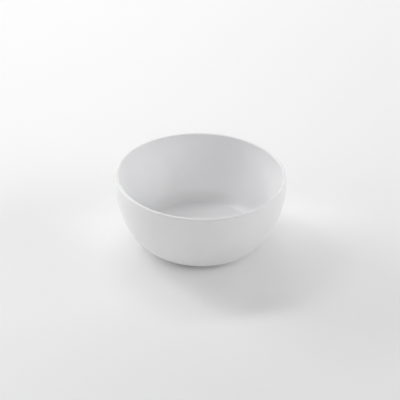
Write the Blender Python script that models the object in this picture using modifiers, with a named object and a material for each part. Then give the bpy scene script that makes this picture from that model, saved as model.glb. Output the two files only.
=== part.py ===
"""Wide, low porcelain crucible: one fired body with a rounded lip, a flat inside
floor with a distinct edge, and a low foot ring. Metres, +Z up, origin on the axis at the height of the
surface that the foot stands on. The body is one profile turned about Z."""

import math

import bmesh
import bpy

MM = 0.001

# Driving dimensions
HEIGHT = 52.0 * MM           # foot face to the crest of the lip
BELLY_RADIUS = 57.0 * MM     # largest outside radius, just under the lip
BELLY_DROP = 4.5 * MM        # the largest radius lies this far below the crest
WALL = 3.4 * MM              # wall at the corner, measured square to the surface
WALL_ARC = 70.0 * MM         # outside radius of curvature of the side
INNER_WALL_ARC = 73.5 * MM   # inside radius of curvature: flatter, so the wall thins to the lip
CORNER_ARC = 20.0 * MM       # outside radius of curvature where side meets underside
CORNER_DROP = 39.7 * MM      # the side arc ends this far below the crest
FLOOR_HEIGHT = 7.0 * MM      # flat inside floor, above the foot face
FLOOR_FILLET = 4.0 * MM      # small radius round the edge of that floor
LIP_OUTER_ROUND = 1.25 * MM  # rounding of the lip, outside
LIP_INNER_ROUND = 1.1 * MM   # rounding of the lip, inside
FOOT_RADIUS = 28.4 * MM      # outside of the foot ring
FOOT_WIDTH = 4.6 * MM        # flat annular face of the foot
FOOT_ROUND = 0.5 * MM        # rounding of the foot ring's two edges
RECESS_DEPTH = 1.2 * MM      # underside of the base, above the foot face

TURN_STEPS = 80              # flats round the body
SIDE_POINTS = 9
CORNER_POINTS = 8
INNER_CORNER_POINTS = 6
FLOOR_FILLET_POINTS = 4
LIP_POINTS = 5
FOOT_POINTS = 3

# Porcelain under a satin glaze
GLAZE_COLOR = (0.83, 0.83, 0.84, 1.0)
GLAZE_ROUGHNESS = 0.38
GLAZE_IOR = 1.5


def arc(center, radius, start, end, points):
    """Points on a circle in the (radius, height) plane, angles in degrees from +X."""
    angles = (start + (end - start) * i / (points - 1) for i in range(points))
    return [
        (
            center[0] + radius * math.cos(math.radians(a)),
            center[1] + radius * math.sin(math.radians(a)),
        )
        for a in angles
    ]


def side_centers():
    """Centers of the side arc and of the corner arc, and the angle where they meet.

    The side arc is upright at the belly. The corner arc continues it with the same
    tangent, so both centers lie on one line through the point where they meet.
    """
    side = (BELLY_RADIUS - WALL_ARC, HEIGHT - BELLY_DROP)
    meet = math.asin((CORNER_DROP - BELLY_DROP) / WALL_ARC)
    reach = WALL_ARC - CORNER_ARC
    corner = (side[0] + reach * math.cos(meet), side[1] - reach * math.sin(meet))
    return side, corner, math.degrees(meet)


def lip_center(side, rounding, wall_radius):
    """Center of a lip rounding that touches the crest height and a side arc."""
    height = HEIGHT - rounding
    reach = wall_radius
    run = math.sqrt(reach**2 - (height - side[1]) ** 2)
    return (side[0] + run, height)


def body_profile():
    """Closed half-section from the inside floor, over the lip, to the underside."""
    side, corner, meet = side_centers()
    inner_corner = CORNER_ARC - WALL

    # The inner side arc leaves the inner corner arc with the same tangent, so its
    # center lies on the same line, further back than the outer one
    setback = INNER_WALL_ARC - inner_corner
    inner_side = (
        corner[0] - setback * math.cos(math.radians(meet)),
        corner[1] + setback * math.sin(math.radians(meet)),
    )
    outer_lip = lip_center(side, LIP_OUTER_ROUND, WALL_ARC - LIP_OUTER_ROUND)
    inner_lip = lip_center(inner_side, LIP_INNER_ROUND, INNER_WALL_ARC + LIP_INNER_ROUND)
    outer_lean = math.degrees(math.atan2(outer_lip[1] - side[1], outer_lip[0] - side[0]))
    inner_lean = math.degrees(
        math.atan2(inner_lip[1] - inner_side[1], inner_lip[0] - inner_side[0])
    )
    underside = corner[1] - CORNER_ARC
    foot_inner = FOOT_RADIUS - FOOT_WIDTH

    # The fillet touches the floor and the inner corner arc from inside
    fillet_rise = corner[1] - (FLOOR_HEIGHT + FLOOR_FILLET)
    fillet_run = math.sqrt((inner_corner - FLOOR_FILLET) ** 2 - fillet_rise**2)
    fillet = (corner[0] + fillet_run, FLOOR_HEIGHT + FLOOR_FILLET)
    floor_lean = -math.degrees(math.atan2(fillet_rise, fillet_run))

    points = [(0.0, FLOOR_HEIGHT)]
    points += arc(fillet, FLOOR_FILLET, -90, floor_lean, FLOOR_FILLET_POINTS)
    points += arc(corner, inner_corner, floor_lean, -meet, INNER_CORNER_POINTS)[1:]
    points += arc(inner_side, INNER_WALL_ARC, -meet, inner_lean, SIDE_POINTS)[1:]
    points += arc(inner_lip, LIP_INNER_ROUND, 180 + inner_lean, 90, LIP_POINTS)[1:]
    points += arc(outer_lip, LIP_OUTER_ROUND, 90, outer_lean, LIP_POINTS)
    points += arc(side, WALL_ARC, outer_lean, -meet, SIDE_POINTS)[1:]
    points += arc(corner, CORNER_ARC, -meet, -90, CORNER_POINTS)[1:]
    points += [(FOOT_RADIUS, underside)]
    points += arc(
        (FOOT_RADIUS - FOOT_ROUND, FOOT_ROUND), FOOT_ROUND, 0, -90, FOOT_POINTS
    )
    points += arc(
        (foot_inner + FOOT_ROUND, FOOT_ROUND), FOOT_ROUND, -90, -180, FOOT_POINTS
    )
    points += [(foot_inner, RECESS_DEPTH), (0.0, RECESS_DEPTH)]
    return points


def glaze_material():
    material = bpy.data.materials.new("satin glaze on porcelain")
    material.use_nodes = True
    shader = material.node_tree.nodes["Principled BSDF"]
    shader.inputs["Base Color"].default_value = GLAZE_COLOR
    shader.inputs["Roughness"].default_value = GLAZE_ROUGHNESS
    shader.inputs["Metallic"].default_value = 0.0
    shader.inputs["IOR"].default_value = GLAZE_IOR
    return material


def turned_body(name, profile, collection):
    """The profile as an edge chain at +X, turned through a full circle."""
    outline = bmesh.new()
    chain = [outline.verts.new((x, 0.0, z)) for x, z in profile]
    for first, second in zip(chain, chain[1:]):
        outline.edges.new((first, second))
    mesh = bpy.data.meshes.new(name)
    outline.to_mesh(mesh)
    outline.free()
    body = bpy.data.objects.new(name, mesh)
    collection.objects.link(body)

    turn = body.modifiers.new("Turn", "SCREW")
    turn.axis = "Z"
    turn.angle = math.tau
    turn.steps = TURN_STEPS
    turn.render_steps = TURN_STEPS
    turn.use_merge_vertices = True
    turn.merge_threshold = 0.00001
    turn.use_smooth_shade = True
    return body


def main():
    for old in list(bpy.data.objects):
        bpy.data.objects.remove(old, do_unlink=True)
    parts = bpy.data.collections.new("porcelain crucible")
    bpy.context.scene.collection.children.link(parts)

    body = turned_body("crucible_body", body_profile(), parts)
    body.data.materials.append(glaze_material())


main()
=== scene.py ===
from math import asin, atan2, cos, degrees, pi, radians, sin, sqrt

import bpy
import numpy as np
from mathutils import Matrix, Vector


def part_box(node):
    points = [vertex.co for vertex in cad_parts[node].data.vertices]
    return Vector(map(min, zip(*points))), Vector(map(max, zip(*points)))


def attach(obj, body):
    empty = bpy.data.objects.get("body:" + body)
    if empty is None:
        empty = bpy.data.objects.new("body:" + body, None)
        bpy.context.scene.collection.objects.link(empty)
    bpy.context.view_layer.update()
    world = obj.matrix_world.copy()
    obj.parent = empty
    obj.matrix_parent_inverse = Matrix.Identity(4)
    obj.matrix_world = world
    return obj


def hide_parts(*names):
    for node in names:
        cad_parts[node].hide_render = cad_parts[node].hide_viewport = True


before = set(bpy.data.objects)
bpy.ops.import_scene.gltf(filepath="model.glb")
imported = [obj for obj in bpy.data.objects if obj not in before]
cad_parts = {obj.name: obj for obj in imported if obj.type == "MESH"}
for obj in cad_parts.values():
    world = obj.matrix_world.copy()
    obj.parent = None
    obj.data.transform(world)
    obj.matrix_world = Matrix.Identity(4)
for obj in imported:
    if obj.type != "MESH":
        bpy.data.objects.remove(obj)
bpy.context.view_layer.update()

lowCorner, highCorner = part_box("crucible_body")
scene = bpy.context.scene
mm = 0.001
print("frame loaded:", sorted(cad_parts))


def linearColour(hexColour):
    # sRGB hex to linear light: c / 12.92 near black, ((c + 0.055) / 1.055) ^ 2.4 above
    channels = [int(hexColour[i:i + 2], 16) / 255 for i in (1, 3, 5)]
    linear = [c / 12.92 if c <= 0.04045 else ((c + 0.055) / 1.055) ** 2.4 for c in channels]
    return (*linear, 1.0)


def addNode(tree, kind, settings=None, inputs=None):
    # settings are the node's own attributes; an input takes a constant or another node's output
    node = tree.nodes.new(kind)
    for name, value in (settings or {}).items():
        setattr(node, name, value)
    for name, value in (inputs or {}).items():
        if isinstance(value, bpy.types.NodeSocket):
            tree.links.new(value, node.inputs[name])
        else:
            node.inputs[name].default_value = value
    return node


def newMaterial(name):
    material = bpy.data.materials.new(name)
    material.use_nodes = True
    return material, material.node_tree, material.node_tree.nodes["Principled BSDF"]


crucible = {                 # lengths in mm
    "nominalRadius": 57.0,   # the size that the rim's faults and the camera's aim are stated for
    "nominalHeight": 52.0,
    "wall": 3.4,             # at the corner, square to the surface
    "bellyDrop": 4.5,        # widest this far under the crest of the lip
    "sideArc": 70.0,         # outside radius of curvature of the side
    "innerArc": 73.5,        # the inside is flatter, so the wall thins to the lip
    "cornerArc": 20.0,       # outside radius where the side turns under
    "cornerDrop": 39.7,      # the side arc ends this far under the crest
    "floorHeight": 7.0,      # flat inside floor above the foot face
    "floorFillet": 4.0,      # small radius round the edge of that floor
    "lipOuterRound": 1.25,
    "lipInnerRound": 1.1,
    "footRadius": 28.4,
    "footWidth": 4.6,
    "footRound": 0.6,
    "footFillet": 0.7,       # inside corner where the foot leaves the underside
    "recess": 1.2,           # underside of the base above the foot face
    "floorDish": 0.12,       # the inside floor sinks this much towards its middle
    "outOfRound": 0.07,      # firing pulls the rim in by this much on two sides
    "rimDip": 0.06,          # and lets its crest down by this much in three places
    "turnSteps": 288,
}


def arcPoints(centre, radius, start, end, count):
    # centre + radius * (cos a, sin a), a running evenly from start to end
    angle = np.radians(np.linspace(start, end, count))
    return np.stack([centre[0] + radius * np.cos(angle), centre[1] + radius * np.sin(angle)], 1)


def crucibleSection(size, belly, height):
    # half-section (radius, height) in mm: inside floor, a small fillet that touches it and the corner
    # arc, a side arc that thins the wall, two lip arcs over the crest, the outer side and corner arcs,
    # the underside, foot ring and recess; arcs that meet share one tangent
    side = np.array([belly - size["sideArc"], height - size["bellyDrop"]])
    meet = asin((size["cornerDrop"] - size["bellyDrop"]) / size["sideArc"])
    reach = size["sideArc"] - size["cornerArc"]
    corner = side + reach * np.array([cos(meet), -sin(meet)])
    innerArc, innerCorner = size["innerArc"], size["cornerArc"] - size["wall"]
    innerSide = corner - (innerArc - innerCorner) * np.array([cos(meet), -sin(meet)])
    meet = degrees(meet)

    def lipCentre(arcCentre, rounding, wallRadius):
        drop = height - rounding - arcCentre[1]
        return np.array([arcCentre[0] + sqrt(wallRadius ** 2 - drop ** 2), height - rounding])

    outerLip = lipCentre(side, size["lipOuterRound"], size["sideArc"] - size["lipOuterRound"])
    innerLip = lipCentre(innerSide, size["lipInnerRound"], innerArc + size["lipInnerRound"])
    outerLean = degrees(atan2(*(outerLip - side)[::-1]))
    innerLean = degrees(atan2(*(innerLip - innerSide)[::-1]))
    fillet, floorHeight = size["floorFillet"], size["floorHeight"]
    filletDrop = corner[1] - floorHeight - fillet
    filletRun = sqrt((innerCorner - fillet) ** 2 - filletDrop ** 2)
    filletCentre = np.array([corner[0] + filletRun, floorHeight + fillet])
    floorLean = -degrees(atan2(filletDrop, filletRun))
    underside = corner[1] - size["cornerArc"]
    foot, inFoot = size["footRadius"], size["footRadius"] - size["footWidth"]
    edge, blend = size["footRound"], size["footFillet"]

    floorRadius = np.linspace(0.0, filletCentre[0], 44)
    dish = size["floorDish"] * (0.5 + 0.5 * np.cos(pi * floorRadius / filletCentre[0]))
    parts = [
        np.stack([floorRadius, floorHeight - dish], 1)[:-1],
        arcPoints(filletCentre, fillet, -90, floorLean, 12),
        arcPoints(corner, innerCorner, floorLean, -meet, 26)[1:],
        arcPoints(innerSide, innerArc, -meet, innerLean, 50)[1:],
        arcPoints(innerLip, size["lipInnerRound"], 180 + innerLean, 90, 14)[1:],
        arcPoints(outerLip, size["lipOuterRound"], 90, outerLean, 16),
        arcPoints(side, size["sideArc"], outerLean, -meet, 50)[1:],
        arcPoints(corner, size["cornerArc"], -meet, -90, 26)[1:],
        arcPoints((foot + blend, underside - blend), blend, 90, 180, 7),
        arcPoints((foot - edge, edge), edge, 0, -90, 8),
        arcPoints((inFoot + edge, edge), edge, -90, -180, 8),
        np.stack([np.linspace(inFoot, 0.0, 16), np.full(16, size["recess"])], 1),
    ]
    return np.concatenate(parts)


def turnedBody(name, size, section):
    # (radius, height) at turn t goes to (radius k cos t, radius k sin t, height h), where k and h fall
    # a little below 1 towards the rim as slow cosines of t; the two ends of the section are the poles
    rings = section[1:-1]
    radius, height = rings[:, :1], rings[:, 1:]
    turn = np.linspace(0, 2 * pi, size["turnSteps"], endpoint=False)[None]
    rise = height / section[:, 1].max()
    oval = 0.5 + 0.5 * np.cos(2 * turn + 0.9)
    waves = 0.5 + 0.5 * np.cos(3 * turn + 2.1)
    squeeze = 1 - size["outOfRound"] / size["nominalRadius"] * rise ** 2 * oval
    dip = 1 - size["rimDip"] / size["nominalHeight"] * rise ** 2 * waves
    grid = np.stack([radius * squeeze * np.cos(turn), radius * squeeze * np.sin(turn),
                     height * dip], -1)
    count, steps = grid.shape[:2]
    points = np.concatenate([grid.reshape(-1, 3), [[0, 0, section[0, 1]]],
                             [[0, 0, section[-1, 1]]]]) * mm
    i, j = np.arange(count - 1)[:, None] * steps, np.arange(steps)[None]
    k = (j + 1) % steps
    quads = np.stack([i + j, i + steps + j, i + steps + k, i + k], -1).reshape(-1, 4)
    j, k = j[0], k[0]
    last = (count - 1) * steps
    top = np.stack([np.full(steps, count * steps), j, k], 1)
    bottom = np.stack([np.full(steps, count * steps + 1), last + k, last + j], 1)

    mesh = bpy.data.meshes.new(name)
    mesh.from_pydata(points, [], quads.tolist() + top.tolist() + bottom.tolist())
    mesh.shade_smooth()
    path = np.concatenate([[0], np.cumsum(np.hypot(*np.diff(section, axis=0).T))]) * mm
    along = np.concatenate([np.repeat(path[1:-1], steps), path[[0, -1]]]).astype(np.float32)
    mesh.attributes.new("alongSection", "FLOAT", "POINT").data.foreach_set("value", along)
    body = bpy.data.objects.new(name, mesh)
    scene.collection.objects.link(body)
    return body


bellyRadius = (highCorner.x - lowCorner.x) / 2 / mm
crestHeight = (highCorner.z - lowCorner.z) / mm
section = crucibleSection(crucible, bellyRadius, crestHeight)
body = turnedBody("glazed_crucible", crucible, section)
print("body turned:", len(body.data.vertices), "points,", len(body.data.loop_triangles), "triangles")

glaze = {                    # lengths in m
    "white": "#EDEDEE",      # opacified white, a breath cooler than the board
    "cooler": "#EBEBEC",     # where the coat lies thicker
    "thin": "#EDEDEC",       # over the crest of the lip, a shade less cool
    "bare": "#D9D4CB",       # fired porcelain without glaze, on the foot face
    "bareLight": "#E0DBD2",
    "speck": "#B5AEA3",      # iron specks and pinholes, few and tiny
    "ior": 1.5,
    "satin": 0.31,           # roughness of the matt crystals in the glaze
    "satinSpread": 0.04,
    "bareRoughness": 0.78,
    "drift": 0.026,          # size of the slow changes in thickness
    "driftLow": 0.35, "driftHigh": 0.65,      # noise values where those changes start and end
    "crestDepth": 0.0009,    # the coat runs thin this far down from the crest
    "crestShare": 0.6,
    "lineHeight": 0.0008,    # wiped edge of the glaze on the foot ring
    "lineRagged": 0.0006, "lineBlend": 0.00017,
    "raggedScale": 380.0, "clayScale": 1100.0, "satinScale": 140.0,   # noise cells to the metre
    "peel": 0.0024, "peelHeight": 7e-6,       # gentle orange peel
    "lines": 0.0019, "linesHeight": 3e-6,     # turning lines of the jigger tool under the glaze
    "grain": 0.00045, "grainHeight": 1.6e-6,  # matt crystals, drawn coarser than the real 0.05 mm
    "specks": 0.009, "speckSize": 0.00016,    # at most one speck in each 9 mm cell
    "speckDepth": 8e-6, "speckStrength": 0.55,
    "speckPick": 0.62,       # cells whose own random value is below this have none
    "coat": 60e-6,           # thickness of glaze missing where the foot is wiped
}


def glazedPorcelain(finish, crest):
    # satin glaze on porcelain, dipped and fired: a soft broad sheen over white, faint orange peel,
    # turning lines that read only in raking light, a wiped foot with the dry body showing
    material, tree, shader = newMaterial("satin white glaze on porcelain")
    place = addNode(tree, "ShaderNodeTexCoord").outputs["Object"]
    height = addNode(tree, "ShaderNodeSeparateXYZ", {}, {0: place}).outputs["Z"]

    # thickness of the coat: broad patches, less over the crest
    patches = addNode(tree, "ShaderNodeTexNoise", {},
                      {"Vector": place, "Scale": 1 / finish["drift"], "Detail": 2.0})
    thicker = addNode(tree, "ShaderNodeMapRange", {"interpolation_type": "SMOOTHSTEP"},
                      {"Value": patches.outputs["Fac"], "From Min": finish["driftLow"],
                       "From Max": finish["driftHigh"]})
    thinner = addNode(tree, "ShaderNodeMapRange", {"interpolation_type": "SMOOTHSTEP"},
                      {"Value": height, "From Min": crest - finish["crestDepth"],
                       "From Max": crest - 0.0001, "To Max": finish["crestShare"]})

    # wiped foot: below a ragged line, height + raggedness * noise against a fixed level
    ragged = addNode(tree, "ShaderNodeTexNoise", {},
                     {"Vector": place, "Scale": finish["raggedScale"], "Detail": 3.0})
    ragged = addNode(tree, "ShaderNodeMath", {"operation": "MULTIPLY_ADD"},
                     {0: ragged.outputs["Fac"], 1: finish["lineRagged"], 2: height})
    wiped = addNode(tree, "ShaderNodeMapRange", {"interpolation_type": "SMOOTHSTEP"},
                    {"Value": ragged.outputs[0], "From Min": finish["lineHeight"],
                     "From Max": finish["lineHeight"] + finish["lineBlend"],
                     "To Min": 1.0, "To Max": 0.0})
    wiped = wiped.outputs["Result"]

    # specks: a dot at the heart of each cell whose own colour passes a threshold
    cells = addNode(tree, "ShaderNodeTexVoronoi", {}, {"Vector": place, "Scale": 1 / finish["specks"]})
    chosen = addNode(tree, "ShaderNodeSeparateColor", {}, {0: cells.outputs["Color"]})
    chosen = addNode(tree, "ShaderNodeMath", {"operation": "GREATER_THAN"},
                     {0: chosen.outputs[0], 1: finish["speckPick"]})
    reach = finish["speckSize"] / finish["specks"]
    dot = addNode(tree, "ShaderNodeMapRange", {"interpolation_type": "SMOOTHSTEP"},
                  {"Value": cells.outputs["Distance"], "From Min": 0.4 * reach, "From Max": reach,
                   "To Min": 1.0, "To Max": 0.0})
    speck = addNode(tree, "ShaderNodeMath", {"operation": "MULTIPLY"},
                    {0: dot.outputs["Result"], 1: chosen.outputs[0]}).outputs[0]
    speckShare = addNode(tree, "ShaderNodeMath", {"operation": "MULTIPLY"},
                         {0: speck, 1: finish["speckStrength"]})

    # colour, each layer laid over the last
    colour = addNode(tree, "ShaderNodeMix", {"data_type": "RGBA"},
                     {0: thicker.outputs["Result"], 6: linearColour(finish["white"]),
                      7: linearColour(finish["cooler"])})
    colour = addNode(tree, "ShaderNodeMix", {"data_type": "RGBA"},
                     {0: thinner.outputs["Result"], 6: colour.outputs[2],
                      7: linearColour(finish["thin"])})
    colour = addNode(tree, "ShaderNodeMix", {"data_type": "RGBA"},
                     {0: speckShare.outputs[0], 6: colour.outputs[2],
                      7: linearColour(finish["speck"])})
    clay = addNode(tree, "ShaderNodeTexNoise", {},
                   {"Vector": place, "Scale": finish["clayScale"], "Detail": 2.0})
    clay = addNode(tree, "ShaderNodeMix", {"data_type": "RGBA"},
                   {0: clay.outputs["Fac"], 6: linearColour(finish["bare"]),
                    7: linearColour(finish["bareLight"])})
    colour = addNode(tree, "ShaderNodeMix", {"data_type": "RGBA"},
                     {0: wiped, 6: colour.outputs[2], 7: clay.outputs[2]})
    tree.links.new(colour.outputs[2], shader.inputs["Base Color"])

    # roughness: the satin drifts as the crystals grew, the bare clay is dry
    satin = addNode(tree, "ShaderNodeTexNoise", {},
                    {"Vector": place, "Scale": finish["satinScale"], "Detail": 3.0})
    satin = addNode(tree, "ShaderNodeMapRange", {},
                    {"Value": satin.outputs["Fac"], "To Min": finish["satin"] - finish["satinSpread"],
                     "To Max": finish["satin"] + finish["satinSpread"]})
    satin = addNode(tree, "ShaderNodeMix", {},
                    {0: wiped, 2: satin.outputs["Result"], 3: finish["bareRoughness"]})
    tree.links.new(satin.outputs[0], shader.inputs["Roughness"])
    shader.inputs["IOR"].default_value = finish["ior"]

    # relief in m: peel + turning lines + crystals, less the specks and the wiped coat
    peel = addNode(tree, "ShaderNodeTexNoise", {},
                   {"Vector": place, "Scale": 1 / finish["peel"], "Detail": 1.0})
    grain = addNode(tree, "ShaderNodeTexNoise", {},
                    {"Vector": place, "Scale": 1 / finish["grain"], "Detail": 1.0})
    along = addNode(tree, "ShaderNodeAttribute", {"attribute_name": "alongSection"})
    along = addNode(tree, "ShaderNodeCombineXYZ", {}, {0: along.outputs["Fac"]})
    # the wave node repeats every 2 pi / 20 at scale 1, so this scale gives one line per spacing
    lines = addNode(tree, "ShaderNodeTexWave", {"bands_direction": "X"},
                    {"Vector": along.outputs[0], "Scale": 2 * pi / 20 / finish["lines"],
                     "Distortion": 1.2, "Detail": 1.0})
    relief = 0.0
    for amount, layer in ((finish["peelHeight"], peel.outputs["Fac"]),
                          (finish["linesHeight"], lines.outputs["Fac"]),
                          (finish["grainHeight"], grain.outputs["Fac"]),
                          (-finish["speckDepth"], speck), (-finish["coat"], wiped)):
        relief = addNode(tree, "ShaderNodeMath", {"operation": "MULTIPLY_ADD"},
                         {0: layer, 1: amount, 2: relief}).outputs[0]
    bump = addNode(tree, "ShaderNodeBump", {}, {"Strength": 1.0, "Distance": 1.0, "Height": relief})
    tree.links.new(bump.outputs[0], shader.inputs["Normal"])
    return material


body.data.materials.append(glazedPorcelain(glaze, crestHeight * mm))
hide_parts("crucible_body")
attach(body, "root")
print("body glazed")

board = {                    # lengths in m
    "white": "#F1F1F1",
    "shade": "#F0F0F0",      # the board's own slow unevenness
    "halfWidth": 6,
    "cloud": 0.22,
    "roughness": 0.7,
    "tooth": 0.0007, "toothHeight": 2e-6,     # faint tooth of the matt surface
}
floorMesh = bpy.data.meshes.new("bench")
w = board["halfWidth"]
floorMesh.from_pydata([(-w, -w, 0), (w, -w, 0), (w, w, 0), (-w, w, 0)], [], [(0, 1, 2, 3)])
bench = bpy.data.objects.new("bench", floorMesh)
scene.collection.objects.link(bench)

# coated board: dead white with hardly any sheen, a faint tooth, tone even to half a percent
material, tree, shader = newMaterial("matt white studio board")
place = addNode(tree, "ShaderNodeTexCoord").outputs["Object"]
cloud = addNode(tree, "ShaderNodeTexNoise", {},
                {"Vector": place, "Scale": 1 / board["cloud"], "Detail": 2.0})
tone = addNode(tree, "ShaderNodeMix", {"data_type": "RGBA"},
               {0: cloud.outputs["Fac"], 6: linearColour(board["white"]),
                7: linearColour(board["shade"])})
tree.links.new(tone.outputs[2], shader.inputs["Base Color"])
shader.inputs["Roughness"].default_value = board["roughness"]
tooth = addNode(tree, "ShaderNodeTexNoise", {},
                {"Vector": place, "Scale": 1 / board["tooth"], "Detail": 1.0})
bump = addNode(tree, "ShaderNodeBump", {},
               {"Strength": 1.0, "Distance": board["toothHeight"], "Height": tooth.outputs["Fac"]})
tree.links.new(bump.outputs[0], shader.inputs["Normal"])
bench.data.materials.append(material)

lights = {                   # azimuth from +X, elevation, distance, width, height (m), watts
    "windowHigh": (140.3, 53.7, 1.27, 0.32, 0.10, 0.900),
    "windowMiddle": (155.5, 41.9, 1.03, 0.20, 0.42, 0.820),
    "windowGap": (146.0, 47.0, 1.25, 0.16, 0.10, 0.750),
    "windowLow": (148.8, 22.0, 2.00, 1.12, 0.44, 14.226),
    "rightWall": (351.6, 23.6, 1.41, 1.19, 0.52, 8.355),
    "roomFront": (273.6, 38.6, 2.00, 2.20, 1.29, 12.400),
    "backWall": (99.5, 15.0, 1.18, 1.03, 0.11, 4.045),
    "ceiling": (105.1, 59.8, 0.63, 0.32, 0.10, 0.575),
    "leftWall": (199.3, 21.8, 0.62, 0.38, 0.34, 0.801),
    "backRight": (46.9, 15.0, 1.31, 1.09, 0.25, 4.526),
    "ceilingRight": (59.4, 83.3, 0.60, 0.24, 0.44, 0.258),
}
centre = Vector((0, 0, 0.02))
for name, (azimuth, elevation, distance, width, height, watts) in lights.items():
    lamp = bpy.data.lights.new(name, "AREA")
    lamp.shape, lamp.size, lamp.size_y, lamp.energy = "RECTANGLE", width, height, watts
    light = bpy.data.objects.new(name, lamp)
    a, e = radians(azimuth), radians(elevation)
    light.location = centre + distance * Vector((cos(a) * cos(e), sin(a) * cos(e), sin(e)))
    light.location.z = max(light.location.z, height / 2 * cos(e) + 0.01)   # kept off the bench
    light.rotation_mode = "QUATERNION"
    light.rotation_quaternion = (light.location - centre).to_track_quat("Z", "Y")
    light.visible_camera = False
    scene.collection.objects.link(light)

world = bpy.data.worlds.new("room")
world.use_nodes = True
world.node_tree.nodes["Background"].inputs["Strength"].default_value = 0.0   # lamps only
scene.world = world
scene.view_settings.view_transform = "Standard"

view = {                     # lengths in m, angles in degrees
    "lens": 100.0,           # mm on a 36 mm sensor
    "targetDepth": 0.49,     # the aim lies this share of the nominal radius under the crest
    "elevation": 32.45,
    "distance": 0.7518,
    "roll": 1.10,
    "turn": 0.020,
    "tilt": 0.448,
}
rise = radians(view["elevation"])
back = Vector((0, -cos(rise), sin(rise)))
right = Vector((1, 0, 0))
pose = Matrix((right, back.cross(right), back)).transposed()
pose = pose @ Matrix.Rotation(radians(view["roll"]), 3, "Z")
pose = pose @ Matrix.Rotation(radians(view["turn"]), 3, "Y")
pose = pose @ Matrix.Rotation(radians(view["tilt"]), 3, "X")
camera = bpy.data.objects.new("camera", bpy.data.cameras.new("camera"))
camera.data.sensor_width = 36
camera.data.lens = view["lens"]
camera.data.clip_start = 0.01
aimDepth = view["targetDepth"] * crucible["nominalRadius"] * mm
target = Vector((0, 0, crestHeight * mm - aimDepth))
camera.matrix_world = Matrix.Translation(target + back * view["distance"]) @ pose.to_4x4()
scene.collection.objects.link(camera)
scene.camera = camera
print("lights and camera placed")
